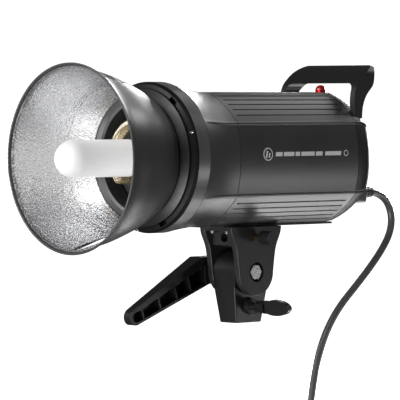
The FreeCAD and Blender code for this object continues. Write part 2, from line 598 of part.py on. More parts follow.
# ---- yoke: two ears, a top plate and the umbrella block between them ----
YOKE_TOP = AXIS_Z + RAIL_BOTTOM
EAR_R = 22.8
side_curve = [(33.5, YOKE_TOP), (32.6, 87.0), (27.6, 76.0), (24.6, 63.0), (EAR_R, AXLE_Z)]
right_edge = curve([V(0, y, z) for y, z in side_curve])
left_edge = curve([V(0, -y, z) for y, z in reversed(side_curve)])
round_end = Part.Arc(V(0, EAR_R, AXLE_Z), V(0, 0, AXLE_Z - EAR_R), V(0, -EAR_R, AXLE_Z)).toShape()
top_edge = line(V(0, -33.5, YOKE_TOP), V(0, 33.5, YOKE_TOP))
ear = plate_yz([right_edge, round_end, left_edge, top_edge], EAR_IN, EAR_OUT)
side_edges = [e for e in ear.Edges if e.BoundBox.XLength < 0.1 and e.BoundBox.ZLength > 0.1]
ear = ear.makeFillet(EAR_SOFT, side_edges)
yoke_parts = [ear, ear.translated(V(-EAR_IN - EAR_OUT, 0, 0)),
              block((-EAR_IN - 1, EAR_IN + 1), (-32.0, 32.0), (YOKE_TOP - 4.0, YOKE_TOP)),
              block((-EAR_IN - 1, EAR_IN + 1), (-22.0, 22.0), (75.2, YOKE_TOP - 3.0))]
yoke = joined(yoke_parts)
yoke = yoke.cut(cylinder(UMBRELLA_R, 60.0, (0, -30.0, UMBRELLA_Z), (0, 1, 0)))
yoke = yoke.cut(cylinder(BOLT_HOLE_R, 60.0, (-30.0, 0, AXLE_Z), (1, 0, 0)))
HEAD_SEAT_R = 9.6
yoke = yoke.cut(cylinder(HEAD_SEAT_R, 6.0, (EAR_OUT - 5.4, 0, AXLE_Z), (1, 0, 0)))
SCREW_HOLE_R = 3.05
yoke = yoke.cut(cylinder(SCREW_HOLE_R, 30.0, (2.0, 0, UMBRELLA_Z), (1, 0, 0)))
yoke_screws = []
for x in (-10.0, 10.0):
    for y in (-27.0, 27.0):
        yoke = yoke.cut(cylinder(2.0, 10.0, (x, y, YOKE_TOP - 8.0), (0, 0, 1)))
        head = cylinder(3.6, 2.4, (x, y, YOKE_TOP - 6.4), (0, 0, 1))
        head = head.cut(cylinder(1.5, 1.2, (x, y, YOKE_TOP - 6.4), (0, 0, 1)))
        yoke_screws.append(head.fuse(cylinder(2.0, 4.0, (x, y, YOKE_TOP - 4.0), (0, 0, 1))))
save("yoke", yoke)
save("yoke_screws", *yoke_screws)

HEX_R = 7.5
hex_points = []
for k in range(7):
    a = math.pi / 3 * k
    hex_points.append(V(EAR_OUT - 5.4, HEX_R * math.cos(a), AXLE_Z + HEX_R * math.sin(a)))
hex_head = Part.Face(Part.makePolygon(hex_points)).extrude(V(4.6, 0, 0))
BOLT_LENGTH = 52.0
bolt = hex_head.fuse(cylinder(BOLT_R, BOLT_LENGTH, (EAR_OUT - 5.4 - BOLT_LENGTH, 0, AXLE_Z), (1, 0, 0)))
save("tilt_bolt", bolt)
LEVER_IN = 24.4
washers = [tube(17.5, 5.2, 0.5, (EAR_IN - 0.5, 0, AXLE_Z), (1, 0, 0)),
           tube(17.5, 5.2, 0.5, (-EAR_IN, 0, AXLE_Z), (1, 0, 0)),
           tube(11.0, 5.2, 1.7, (-EAR_OUT - 1.7, 0, AXLE_Z), (1, 0, 0))]
save("tilt_washers", *washers)

# ---- tilt clamp lever: tapered, hollow on its inner side, with cross ribs ----
LEVER_OUT = 42.0
TIP = (-114.4, 8.6)       # centre of the lever's round end
lever_points = [(0.0, 63.3), (-28.0, 63.0), (-118.2, 15.6), (-111.6, 1.3), (-16.0, 37.6), (0.0, 35.3)]
lever_solid = joined([polygon_yz(lever_points, -LEVER_OUT, -LEVER_IN),
                      cylinder(14.0, LEVER_OUT - LEVER_IN, (-LEVER_OUT, 0, AXLE_Z), (1, 0, 0)),
                      cylinder(7.9, LEVER_OUT - LEVER_IN, (-LEVER_OUT, TIP[0], TIP[1]), (1, 0, 0))])
flare = Part.Face(Part.makePolygon([V(-LEVER_OUT, 16, 0), V(-LEVER_IN, 16, 0), V(-LEVER_IN, -124, 0),
                                    V(-LEVER_IN - 9.0, -124, 0),
                                    V(-LEVER_OUT, -26, 0), V(-LEVER_OUT, 16, 0)]))
lever_solid = lever_solid.common(flare.extrude(V(0, 0, 80)))
pocket_points = [(-24.0, 54.6), (-114.8, 12.6), (-110.6, 4.2), (-24.0, 37.4)]
pocket = joined([polygon_yz(pocket_points, -LEVER_OUT, 0),
                 cylinder(5.0, LEVER_OUT, (-LEVER_OUT, TIP[0] + 1.0, TIP[1]), (1, 0, 0))])
pocket_depth = Part.Face(Part.makePolygon([V(-LEVER_OUT + 3.5, -20, 0), V(0, -20, 0), V(0, -124, 0),
                                           V(-LEVER_IN - 6.0, -124, 0), V(-LEVER_OUT + 3.5, -30, 0),
                                           V(-LEVER_OUT + 3.5, -20, 0)]))
pocket = pocket.common(pocket_depth.extrude(V(0, 0, 80)))
slope = math.atan2(38.0, 97.0)
ribs = []
for y in (-103.0, -81.0, -59.5, -41.0):
    z = AXLE_Z - 3.4 + math.tan(slope) * y
    rib = block((-LEVER_OUT + 1.0, -LEVER_IN - 0.8), (y - 0.9, y + 0.9), (z - 20.0, z + 20.0))
    ribs.append(rib.rotated(V(0, y, z), V(1, 0, 0), -math.degrees(slope) + 40.0))
spine = block((-LEVER_OUT + 1.0, -LEVER_IN - 2.0), (-42.0, -20.0), (-0.9, 0.9))
spine = spine.rotated(V(0, 0, 0), V(1, 0, 0), math.degrees(slope)).translated(V(0, 0, AXLE_Z - 5.0))
pocket = pocket.cut(Part.makeCompound(ribs + [spine]))
lever_solid = lever_solid.cut(pocket)
NUT_R = 7.0
lever_solid = lever_solid.cut(cylinder(NUT_R, 20.0, (-39.0, 0, AXLE_Z), (1, 0, 0)))
save("tilt_lever", lever_solid)
save("lever_nut", tube(NUT_R, BOLT_HOLE_R, 14.6, (-39.0, 0, AXLE_Z), (1, 0, 0)))

# ---- stand head: drum on the tilt axle over the tapered socket ----
DRUM_R = 22.0
MOUTH_HALF_X = 11.6
MOUTH_HALF_Y = 16.6
drum_top = AXLE_Z + DRUM_R
drum_arc = Part.Arc(V(0, -DRUM_R, AXLE_Z), V(0, 0, drum_top), V(0, DRUM_R, AXLE_Z)).toShape()
side_points = [(DRUM_R, AXLE_Z), (DRUM_R, HEAD_TAPER_TOP), (MOUTH_HALF_Y, 0.0), (-MOUTH_HALF_Y, 0.0),
               (-DRUM_R, HEAD_TAPER_TOP), (-DRUM_R, AXLE_Z)]
corners = [V(0, y, z) for y, z in side_points]
head_edges = [drum_arc] + [line(a, b) for a, b in zip(corners[:-1], corners[1:])]
head_front = [(-HEAD_HALF, drum_top), (-HEAD_HALF, HEAD_TAPER_TOP),
              (-MOUTH_HALF_X, 0.0), (MOUTH_HALF_X, 0.0),
              (HEAD_HALF, HEAD_TAPER_TOP), (HEAD_HALF, drum_top)]
head = plate_yz(head_edges, -HEAD_HALF, HEAD_HALF).common(polygon_xz(head_front, -30.0, 30.0))
low_edges = [e for e in head.Edges if e.BoundBox.ZMax < HEAD_TAPER_TOP + 0.1 and e.BoundBox.ZMin < 0.1]
head = head.makeFillet(HEAD_SOFT, low_edges)
boss = cylinder(8.0, 8.0, (10.0, 0, CLAMP_Z), (1, 0, 0))
head = head.fuse(boss)
head = head.cut(cylinder(SOCKET_R, SOCKET_DEPTH, (0, 0, 0), (0, 0, 1)))
head = head.cut(cylinder(BOLT_HOLE_R, 40.0, (-20.0, 0, AXLE_Z), (1, 0, 0)))
PAD_R = 4.5
SCREW_R = 3.95
head = head.cut(cylinder(PAD_R + 0.3, 13.8, (0.0, 0, CLAMP_Z), (1, 0, 0)))
head = head.cut(cylinder(SCREW_R + 0.05, 20.0, (0.0, 0, CLAMP_Z), (1, 0, 0)))
save("stand_head", head.removeSplitter())
save("clamp_pad", cylinder(PAD_R, 2.0, (8.4, 0, CLAMP_Z), (1, 0, 0)))
save("clamp_screw", cylinder(SCREW_R, 21.6, (10.4, 0, CLAMP_Z), (1, 0, 0)))
stem = Part.makeCone(5.6, 6.6, 12.0, V(24.0, 0, CLAMP_Z), V(1, 0, 0))
blade = Part.Face(Part.Wire(Part.Ellipse(V(0, 0, 0), 18.5, 7.6).toShape()))
blade = blade.extrude(V(0, 0, 5.0)).translated(V(0, 0, -2.5))
blade = blade.rotated(V(0, 0, 0), V(1, 0, 0), 90.0 + 8.0).translated(V(49.5, 0, CLAMP_Z))
paddle = joined([stem, blade]).cut(cylinder(SCREW_R, 8.0, (24.0, 0, CLAMP_Z), (1, 0, 0)))
save("clamp_paddle", paddle)

# ---- umbrella clamp screw ----
UMBRELLA_SCREW_R = 2.95
save("umbrella_tip", cylinder(UMBRELLA_SCREW_R, 1.4, (5.0, 0, UMBRELLA_Z), (1, 0, 0)))
brass = cylinder(UMBRELLA_SCREW_R, 24.6, (6.4, 0, UMBRELLA_Z), (1, 0, 0))
brass = brass.fuse(cylinder(4.0, 3.6, (26.4, 0, UMBRELLA_Z), (1, 0, 0)))
save("umbrella_screw", brass)
KNOB_R = 6.7
knob = cylinder(KNOB_R, 14.0, (30.0, 0, UMBRELLA_Z), (1, 0, 0))
knob = knob.cut(cylinder(UMBRELLA_SCREW_R, 1.0, (30.0, 0, UMBRELLA_Z), (1, 0, 0)))
KNURLS = 24
knurls = []
for k in range(KNURLS):
    a = 2 * math.pi * k / KNURLS
    at = (29.0, (KNOB_R + 0.2) * math.cos(a), UMBRELLA_Z + (KNOB_R + 0.2) * math.sin(a))
    knurls.append(cylinder(0.55, 13.0, at, (1, 0, 0)))
save("umbrella_knob", knob.cut(Part.makeCompound(knurls)))

# ---- mains lead: connector, strain relief, hanging run, put-away coil with tie, plug ----
CONNECTOR_END = 360.0
connector = rounded(round_inlet(13.4, 9.6, PANEL_FACE + 0.4, CONNECTOR_END), (0, 1, 0), 3.0)
nose = round_inlet(11.6, 7.6, 317.4, PANEL_FACE + 1.0)
save_on_beam("cord_connector", joined([connector, nose]))
RELIEF_START = CONNECTOR_END
RELIEF_END = 380.0
relief_profile = [(0.0, RELIEF_START), (6.6, RELIEF_START)]
for k in range(4):
    s = RELIEF_START + 2.4 + 4.4 * k
    r = 6.6 - 0.35 * k
    relief_profile += [(r, s), (r - 1.6, s), (r - 1.6, s + 1.6), (r - 0.2, s + 1.6)]
relief_profile += [(5.0, RELIEF_END), (0.0, RELIEF_END)]
save_on_beam("cord_relief", lathe(relief_profile, INLET[0], -37.5))

CORD_ROUTE = [(20.0, 380.0, -37.5), (20.0, 392.0, -39.5), (20.0, 405.0, -48.5), (20.0, 411.0, -63.5),
              (20.0, 408.5, -79.0), (20.5, 397.6, -94.0), (21.0, 380.4, -111.0), (21.5, 357.0, -131.0),
              (21.0, 334.5, -150.0), (19.0, 319.0, -172.0), (17.0, 309.0, -197.0), (15.0, 304.0, -224.0),
              (14.0, 300.5, -250.0), (14.0, 300.0, -276.6)]
STRAND_RING_R = COIL_BUNDLE_R - CORD_R
LEAD_INTO_COIL = 16.0     # the lead meets the coil this far above its centre
TAIL_STEPS = 5
TAIL_R = 35.2             # the tail's corners lie on an arch of this radius
TAIL_X = (17.5, 22.0, 31.0, 37.0, 37.9, 37.9)


def cord_tube(name, corners):
    """Tube of the cord's thickness along straight runs joined by arcs."""
    route = [V(*p) for p in corners]
    pieces = []
    radii = []
    here = route[0]
    for k in range(1, len(route) - 1):
        before = route[k] - route[k - 1]
        after = route[k + 1] - route[k]
        half_turn = before.getAngle(after) / 2
        reach = ARC_SHARE * min(before.Length, after.Length)
        radii.append(reach / math.tan(half_turn))
        into = before.normalize()
        out = after.normalize()
        start = route[k] - into * reach
        end = route[k] + out * reach
        to_centre = (out - into).normalize()
        centre = route[k] + to_centre * (radii[-1] / math.cos(half_turn))
        middle = centre - to_centre * radii[-1]
        pieces.append(Part.LineSegment(here, start).toShape())
        pieces.append(Part.Arc(start, middle, end).toShape())
        here = end
    pieces.append(Part.LineSegment(here, route[-1]).toShape())
    spine_wire = Part.Wire(pieces)
    cord_end = Part.Wire(Part.makeCircle(CORD_R, route[0], route[1] - route[0]))
    cord = spine_wire.makePipeShell([cord_end], True, True)
    print(name, "radii", [round(r, 1) for r in radii], "length", round(spine_wire.Length, 1))
    print(name, "volume ratio", round(cord.Volume / (math.pi * CORD_R ** 2 * spine_wire.Length), 4))
    return cord


lead = cord_tube("lead", CORD_ROUTE)
lead_end = V(*CORD_ROUTE[-1])
COIL_CENTRE = V(lead_end.x, lead_end.y + COIL_R + STRAND_RING_R, lead_end.z - LEAD_INTO_COIL)
PLUG_HALF = 12.0
PLUG_BOTTOM = -18.0
PLUG_TOP = 20.0
BLADE_X = 6.35            # each blade stands this far from the plug's middle
plug_centre = COIL_CENTRE + V(COIL_BUNDLE_R + 0.3 + PLUG_HALF, -25.7, -14.0)
tail_route = [(TAIL_X[0], COIL_CENTRE.y + 43.0, COIL_CENTRE.z + 2.0)]
for k in range(1, TAIL_STEPS):
    a = math.pi * k / TAIL_STEPS
    arch_y = COIL_CENTRE.y + 9.5 + TAIL_R * math.cos(a)
    tail_route.append((TAIL_X[k], arch_y, COIL_CENTRE.z + 9.0 + TAIL_R * math.sin(a)))
tail_route.append((TAIL_X[-1], plug_centre.y, plug_centre.z + PLUG_TOP))
save_on_beam("cord_lead", lead, cord_tube("tail", tail_route))
save_on_beam("cord_coil", Part.makeTorus(COIL_R, COIL_BUNDLE_R, COIL_CENTRE, V(1, 0, 0)))
TIE_HEIGHT = 9.0
TIE_DROP = 8.0
tie_at = (COIL_CENTRE.x, COIL_CENTRE.y + COIL_R, COIL_CENTRE.z - TIE_DROP - TIE_HEIGHT / 2)
save_on_beam("cord_tie", tube(COIL_BUNDLE_R + 1.2, COIL_BUNDLE_R + 0.2, TIE_HEIGHT, tie_at, (0, 0, 1)))


def round_plug(x, y, z):
    """Block whose ranges are measured from the plug's centre."""
    return block(x, y, z).translated(plug_centre)


plug_parts = [rounded(round_plug((-PLUG_HALF, PLUG_HALF), (-PLUG_HALF, PLUG_HALF), (PLUG_BOTTOM, PLUG_TOP)),
                      (0, 0, 1), 5.0)]
for x in (-BLADE_X, BLADE_X):
    plug_parts.append(round_plug((x - 0.8, x + 0.8), (-6.2, 0.2), (-35.0, PLUG_BOTTOM + 1.0)))
EARTH_PIN_AT = (plug_centre.x, plug_centre.y + 8.0, plug_centre.z - 39.0)
plug_parts.append(cylinder(2.4, 22.0, EARTH_PIN_AT, (0, 0, 1)))
save_on_beam("mains_plug", joined(plug_parts))
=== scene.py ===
import json
import math

import bmesh
import bpy
import numpy as np
from mathutils import Matrix, Vector


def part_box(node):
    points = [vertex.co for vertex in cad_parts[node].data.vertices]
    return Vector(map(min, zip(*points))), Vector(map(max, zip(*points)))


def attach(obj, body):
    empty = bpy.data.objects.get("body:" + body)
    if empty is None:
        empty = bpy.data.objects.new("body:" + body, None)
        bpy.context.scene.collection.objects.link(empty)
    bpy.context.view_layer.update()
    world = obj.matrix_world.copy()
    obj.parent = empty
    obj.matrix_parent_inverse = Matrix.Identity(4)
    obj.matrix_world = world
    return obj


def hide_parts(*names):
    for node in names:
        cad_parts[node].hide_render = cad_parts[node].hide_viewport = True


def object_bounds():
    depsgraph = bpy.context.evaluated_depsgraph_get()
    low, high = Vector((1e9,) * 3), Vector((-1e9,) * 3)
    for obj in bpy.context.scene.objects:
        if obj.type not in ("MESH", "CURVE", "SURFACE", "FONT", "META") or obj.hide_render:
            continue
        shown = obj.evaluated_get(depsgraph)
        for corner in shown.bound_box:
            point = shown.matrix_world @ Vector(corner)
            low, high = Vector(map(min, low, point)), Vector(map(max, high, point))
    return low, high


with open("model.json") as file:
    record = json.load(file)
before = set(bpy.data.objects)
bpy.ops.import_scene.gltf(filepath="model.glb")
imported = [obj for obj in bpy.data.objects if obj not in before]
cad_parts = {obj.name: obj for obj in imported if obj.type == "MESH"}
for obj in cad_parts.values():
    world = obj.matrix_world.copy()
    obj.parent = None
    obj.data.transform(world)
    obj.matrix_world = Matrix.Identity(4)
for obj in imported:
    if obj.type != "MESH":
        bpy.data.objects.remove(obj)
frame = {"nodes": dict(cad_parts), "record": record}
cad_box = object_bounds()
nodes = frame["nodes"]

# Places in the row frame, in metres: +Z up, the lamp shines along -Y.
BEAM_Z = 0.161
RIM_Y = -0.219
AXIS = Vector((0.0, RIM_Y, BEAM_Z))


def station(x, s, z):
    """Point given as (x, distance behind the reflector's rim, height over the beam), in millimetres."""
    return AXIS + Vector((x, s, z)) / 1000.0


# ---------------------------------------------------------------- materials

def node(tree, kind, **inputs):
    n = tree.nodes.new(kind)
    for name, value in inputs.items():
        n.inputs[name.replace("_", " ")].default_value = value
    return n


def noise(tree, coords, scale, detail=3.0, stretch=None):
    """Noise in object space. stretch draws it out along one or more axes."""
    n = node(tree, "ShaderNodeTexNoise", Scale=scale, Detail=detail)
    source = coords.outputs["Object"]
    if stretch:
        m = node(tree, "ShaderNodeMapping", Scale=stretch)
        tree.links.new(source, m.inputs["Vector"])
        source = m.outputs["Vector"]
    tree.links.new(source, n.inputs["Vector"])
    return n.outputs["Fac"]


def spread(tree, source, low, high, start=0.25, end=0.75):
    n = node(tree, "ShaderNodeMapRange", From_Min=start, From_Max=end, To_Min=low, To_Max=high)
    tree.links.new(source, n.inputs["Value"])
    return n.outputs["Result"]


def mixed(tree, share, a, b):
    """Colour a where share is 0 and b where it is 1. Each is a colour or a socket."""
    n = tree.nodes.new("ShaderNodeMix")
    n.data_type = "RGBA"
    tree.links.new(share, n.inputs[0])
    for socket, value in ((n.inputs[6], a), (n.inputs[7], b)):
        if isinstance(value, tuple):
            socket.default_value = (*value, 1.0)
        else:
            tree.links.new(value, socket)
    return n.outputs[2]


def grey(v, warm=0.0):
    return (v * (1 + warm), v, v * (1 - warm))


def surface(name, colour, rough, metal=0.0, grain=1400.0, bump=0.12, bump_mm=0.05, vary=0.18, wear=None,
            wear_share=0.5, soft_mm=0.35, coat=0.0, coat_rough=0.2, spec=0.5, rough_vary=0.12, stretch=None,
            sheen=0.0):
    """A finished material: colour that varies, grain in roughness and bump, rounded and worn edges."""
    m = bpy.data.materials.new(name)
    m.use_nodes = True
    t = m.node_tree
    b = t.nodes["Principled BSDF"]
    b.inputs["Metallic"].default_value = metal
    b.inputs["Coat Weight"].default_value = coat
    b.inputs["Coat Roughness"].default_value = coat_rough
    b.inputs["Specular IOR Level"].default_value = spec
    b.inputs["Sheen Weight"].default_value = sheen
    coords = t.nodes.new("ShaderNodeTexCoord")
    broad = noise(t, coords, 22.0, 4.0)
    fine = noise(t, coords, grain, 2.0, stretch)
    light = tuple(c * (1 + vary) for c in colour)
    dark = tuple(c * (1 - vary) for c in colour)
    painted = mixed(t, spread(t, broad, 0.0, 1.0), dark, light)
    edge_normal = node(t, "ShaderNodeBevel", Radius=soft_mm / 1000.0)
    edge_normal.samples = 4
    if wear:
        flat = t.nodes.new("ShaderNodeNewGeometry")
        same = t.nodes.new("ShaderNodeVectorMath")
        same.operation = "DOT_PRODUCT"
        t.links.new(edge_normal.outputs["Normal"], same.inputs[0])
        t.links.new(flat.outputs["Normal"], same.inputs[1])
        edge = spread(t, same.outputs["Value"], wear_share, 0.0, 0.86, 0.99)
        rubbed = t.nodes.new("ShaderNodeMath")
        rubbed.operation = "MULTIPLY"
        t.links.new(edge, rubbed.inputs[0])
        t.links.new(spread(t, noise(t, coords, 160.0, 3.0), 0.0, 1.0, 0.38, 0.62), rubbed.inputs[1])
        painted = mixed(t, rubbed.outputs[0], painted, wear)
    t.links.new(painted, b.inputs["Base Color"])
    low, high = max(rough - rough_vary, 0.02), min(rough + rough_vary, 1.0)
    t.links.new(spread(t, fine, low, high), b.inputs["Roughness"])
    bumps = node(t, "ShaderNodeBump", Strength=bump, Distance=bump_mm / 1000.0)
    t.links.new(fine, bumps.inputs["Height"])
    t.links.new(edge_normal.outputs["Normal"], bumps.inputs["Normal"])
    t.links.new(bumps.outputs["Normal"], b.inputs["Normal"])
    return m


def shader_of(material):
    return material.node_tree.nodes["Principled BSDF"]


WORN = grey(0.16)
MAT = {
    "shell_paint": surface("shell_paint", grey(0.052), 0.36, grain=2600, bump=0.25, wear=WORN, wear_share=0.25,
                           coat=0.12, coat_rough=0.3),
    "shroud_paint": surface("shroud_paint", grey(0.062), 0.36, grain=2600, bump=0.25, wear=WORN,
                            wear_share=0.25, coat=0.12, coat_rough=0.3),
    "bezel_paint": surface("bezel_paint", grey(0.12), 0.34, grain=2200, bump=0.2, coat=0.2, coat_rough=0.25),
    "ring_metal": surface("ring_metal", grey(0.005), 0.42, grain=2400, bump=0.2, wear=WORN, wear_share=0.5,
                          spec=0.35),
    "reflector_metal": surface("reflector_metal", grey(0.075), 0.36, metal=0.3, grain=2400, bump=0.2,
                               wear=grey(0.3), wear_share=0.5, stretch=(1, 0.15, 1)),
    "collar_metal": surface("collar_metal", grey(0.055), 0.34, metal=0.6, grain=1800, bump=0.2,
                            stretch=(1, 0.2, 1)),
    "black_plastic": surface("black_plastic", grey(0.011), 0.42, grain=2600, bump=0.3, wear=WORN,
                             wear_share=0.3),
    "handle_plastic": surface("handle_plastic", grey(0.013), 0.42, grain=2400, bump=0.35, wear=grey(0.2),
                              wear_share=0.5, coat=0.1),
    "cover_plastic": surface("cover_plastic", grey(0.014), 0.42, grain=2400, bump=0.35, wear=WORN,
                             wear_share=0.3),
    "panel_plastic": surface("panel_plastic", grey(0.018), 0.5, grain=2600, bump=0.3),
    "bracket_metal": surface("bracket_metal", grey(0.026), 0.46, grain=2000, bump=0.55, bump_mm=0.09,
                             wear=grey(0.30), wear_share=0.7, coat=0.05),
    "head_metal": surface("head_metal", grey(0.010), 0.42, grain=2000, bump=0.5, bump_mm=0.08,
                          wear=grey(0.30), wear_share=0.7),
    "lever_plastic": surface("lever_plastic", grey(0.010), 0.38, grain=2200, bump=0.3, wear=grey(0.30),
                             wear_share=0.7, coat=0.1),
    "steel": surface("steel", grey(0.55), 0.26, metal=1.0, grain=2600, bump=0.1, wear=grey(0.8)),
    "chrome": surface("chrome", grey(0.72), 0.12, metal=1.0, grain=1500, bump=0.05, rough_vary=0.05),
    "brass": surface("brass", (0.62, 0.42, 0.16), 0.26, metal=1.0, grain=2200, bump=0.12),
    # The ceramic plate and sockets are white in reality; this near black is painted shade for the deep throat
    # they sit in.
    "ceramic": surface("ceramic", grey(0.030), 0.5, grain=1200, bump=0.2),
    "button_plastic": surface("button_plastic", grey(0.10), 0.5, grain=2200, bump=0.2),
    "dial_plastic": surface("dial_plastic", grey(0.016), 0.42, grain=2400, bump=0.3, wear=WORN),
    "rocker_plastic": surface("rocker_plastic", grey(0.012), 0.22, grain=1800, bump=0.08, coat=0.3),
    "can_sleeve": surface("can_sleeve", (0.015, 0.025, 0.07), 0.3, grain=1200, bump=0.1, coat=0.4),
    "board": surface("board", (0.02, 0.12, 0.05), 0.4, grain=900, bump=0.3, coat=0.2),
    "tray_metal": surface("tray_metal", grey(0.5), 0.4, metal=1.0, grain=1600, bump=0.15,
                          stretch=(1, 0.1, 1)),
    "copper_block": surface("copper_block", (0.30, 0.13, 0.06), 0.45, metal=0.6, grain=1200, bump=0.3),
    "fan_plastic": surface("fan_plastic", grey(0.015), 0.45, grain=2000, bump=0.2),
    "fibre": surface("fibre", (0.10, 0.05, 0.03), 0.75, grain=1800, bump=0.4),
    "cord_rubber": surface("cord_rubber", grey(0.11), 0.34, grain=1800, bump=0.25, vary=0.25,
                           rough_vary=0.1, coat=0.4, coat_rough=0.25),
    "tie_fabric": surface("tie_fabric", grey(0.03), 0.85, grain=3000, bump=0.8, bump_mm=0.2, sheen=0.4),
    "silver": surface("silver", (0.80, 0.80, 0.81), 0.27, metal=1.0, grain=700, bump=0.06, vary=0.05,
                      rough_vary=0.06, soft_mm=0.05),
    "print": surface("print", grey(0.95), 0.5, grain=2600, bump=0.1, vary=0.08),
}

lamp_glass = surface("lamp_glass", grey(0.86), 0.34, grain=900, bump=0.05, vary=0.02, coat=0.25,
                     rough_vary=0.06)
# The modelling lamp is not switched on: this faint glow is painted light, brightening the frosted glass in
# place of light falling on it.
shader_of(lamp_glass).inputs["Emission Color"].default_value = (1.0, 0.99, 0.97, 1.0)
shader_of(lamp_glass).inputs["Emission Strength"].default_value = 0.16
MAT["lamp_glass"] = lamp_glass

tube_glass = surface("tube_glass", (0.86, 0.72, 0.42), 0.06, grain=300, bump=0.1, vary=0.1, coat=1.0,
                     coat_rough=0.03, rough_vary=0.04)
shader_of(tube_glass).inputs["Transmission Weight"].default_value = 0.7
MAT["tube_glass"] = tube_glass

red_plastic = surface("red_plastic", (0.55, 0.012, 0.012), 0.10, grain=400, bump=0.04, vary=0.12, coat=1.0,
                      coat_rough=0.04, rough_vary=0.04)
shader_of(red_plastic).inputs["Transmission Weight"].default_value = 0.25
MAT["red_plastic"] = red_plastic

display_glass = surface("display_glass", (0.05, 0.075, 0.05), 0.12, grain=600, bump=0.02, coat=0.8,
                        coat_rough=0.05, rough_vary=0.04)
MAT["display_glass"] = display_glass


def dress(obj, material):
    obj.data.materials.clear()
    obj.data.materials.append(MAT[material])


LOOK_OF_NODE = {"front_shroud": "shroud_paint", "stand_head": "head_metal", "cord_tie": "tie_fabric",
                "tilt_bolt": "steel", "clamp_screw": "chrome", "mount_screws": "chrome",
                "umbrella_knob": "black_plastic"}
for entry in frame["record"]["subparts"]:
    LOOK_OF_NODE.setdefault(entry["node"], entry["material_slot"])
for name, obj in nodes.items():
    dress(obj, LOOK_OF_NODE.get(name, "black_plastic"))


# ---------------------------------------------------------------- camera

AZIMUTH = math.radians(46.6784)
ELEVATION = math.radians(1.8410)
CAMERA_AT = Vector((2.2725, -2.1972, 0.2199))
right = Vector((math.cos(AZIMUTH), math.sin(AZIMUTH), 0.0))
back = Vector((math.sin(AZIMUTH) * math.cos(ELEVATION), -math.cos(AZIMUTH) * math.cos(ELEVATION),
               math.sin(ELEVATION)))
up = back.cross(right)
camera = bpy.data.objects.new("camera", bpy.data.cameras.new("camera"))
bpy.context.scene.collection.objects.link(camera)
camera.data.sensor_width = 36.0
camera.data.lens = 293.9
camera.data.clip_end = 200.0
turned = Matrix((right, up, back)).transposed()
camera.matrix_world = Matrix.Translation(CAMERA_AT) @ turned.to_4x4()
bpy.context.scene.camera = camera


# ---------------------------------------------------------------- mains lead

def mesh_object(name, mesh_source, material, body, smooth=True):
    mesh = bpy.data.meshes.new(name)
    mesh_source.to_mesh(mesh)
    mesh_source.free()
    obj = bpy.data.objects.new(name, mesh)
    bpy.context.scene.collection.objects.link(obj)
    for face in mesh.polygons:
        face.use_smooth = smooth
    mesh.materials.append(MAT[material])
    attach(obj, body)
    return obj


# The lead runs down behind the housing, winds into a coil of strands in a ring, and ends in the plug.
CORD_DIAMETER = 0.007
LEAD_ROUTE = [(0.020, 0.161, 0.1235), (0.020, 0.173, 0.1215), (0.020, 0.186, 0.1125), (0.020, 0.192, 0.0975),
              (0.020, 0.1895, 0.082), (0.0205, 0.1786, 0.067), (0.021, 0.1614, 0.050), (0.0215, 0.138, 0.030),
              (0.021, 0.1155, 0.011), (0.019, 0.100, -0.011), (0.017, 0.090, -0.036), (0.015, 0.085, -0.063),
              (0.014, 0.0815, -0.089), (0.014, 0.081, -0.1156)]
COIL_R = 0.036
STRAND_RING_R = 0.0081
STRANDS = 7
TURNS = 6.5
POINTS_PER_TURN = 16
TAIL_STEPS = 5            # the tail arches over the coil from its rear to the plug
TAIL_X = (0.0175, 0.022, 0.031, 0.037, 0.0379, 0.0379)
TAIL_R = 0.0352
TAIL_MIDDLE_Y = 0.0095    # from the coil's centre
TAIL_MIDDLE_Z = 0.009
PLUG_Y = -0.0257          # from the coil's centre
ABOVE_PLUG = 0.001
INTO_PLUG = 0.004

coil_low, coil_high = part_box("cord_coil")
coil_at = (coil_low + coil_high) / 2
plug_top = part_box("mains_plug")[1].z
cord_points = [Vector(p) for p in LEAD_ROUTE]
round_up = 1.0 / math.cos(math.pi / POINTS_PER_TURN)
for k in range(1, int(TURNS * POINTS_PER_TURN) + 1):
    a = 2 * math.pi * k / POINTS_PER_TURN
    roll = -a / STRANDS
    out = (COIL_R + STRAND_RING_R * math.cos(roll)) * round_up
    cord_points.append(coil_at + Vector((STRAND_RING_R * math.sin(roll), -out * math.cos(a),
                                         -out * math.sin(a))))
for k in range(1, TAIL_STEPS):
    a = math.pi * k / TAIL_STEPS
    cord_points.append(Vector((TAIL_X[k], coil_at.y + TAIL_MIDDLE_Y + TAIL_R * math.cos(a),
                               coil_at.z + TAIL_MIDDLE_Z + TAIL_R * math.sin(a))))
for height in (ABOVE_PLUG, -INTO_PLUG):
    cord_points.append(Vector((TAIL_X[-1], coil_at.y + PLUG_Y, plug_top + height)))

lead_data = bpy.data.curves.new("mains_lead", "CURVE")
lead_data.dimensions = "3D"
lead_data.bevel_depth = CORD_DIAMETER / 2
lead_data.bevel_resolution = 6
lead_data.resolution_u = 6
line = lead_data.splines.new("NURBS")
line.points.add(len(cord_points) - 1)
for point, at in zip(line.points, cord_points):
    point.co = (*at, 1.0)
line.order_u = 3
line.use_endpoint_u = True
mains_lead = bpy.data.objects.new("mains_lead", lead_data)
bpy.context.scene.collection.objects.link(mains_lead)
lead_data.materials.append(MAT["cord_rubber"])
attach(mains_lead, "housing")
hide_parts("cord_lead", "cord_coil")


# ---------------------------------------------------------------- hammered inside of the reflector

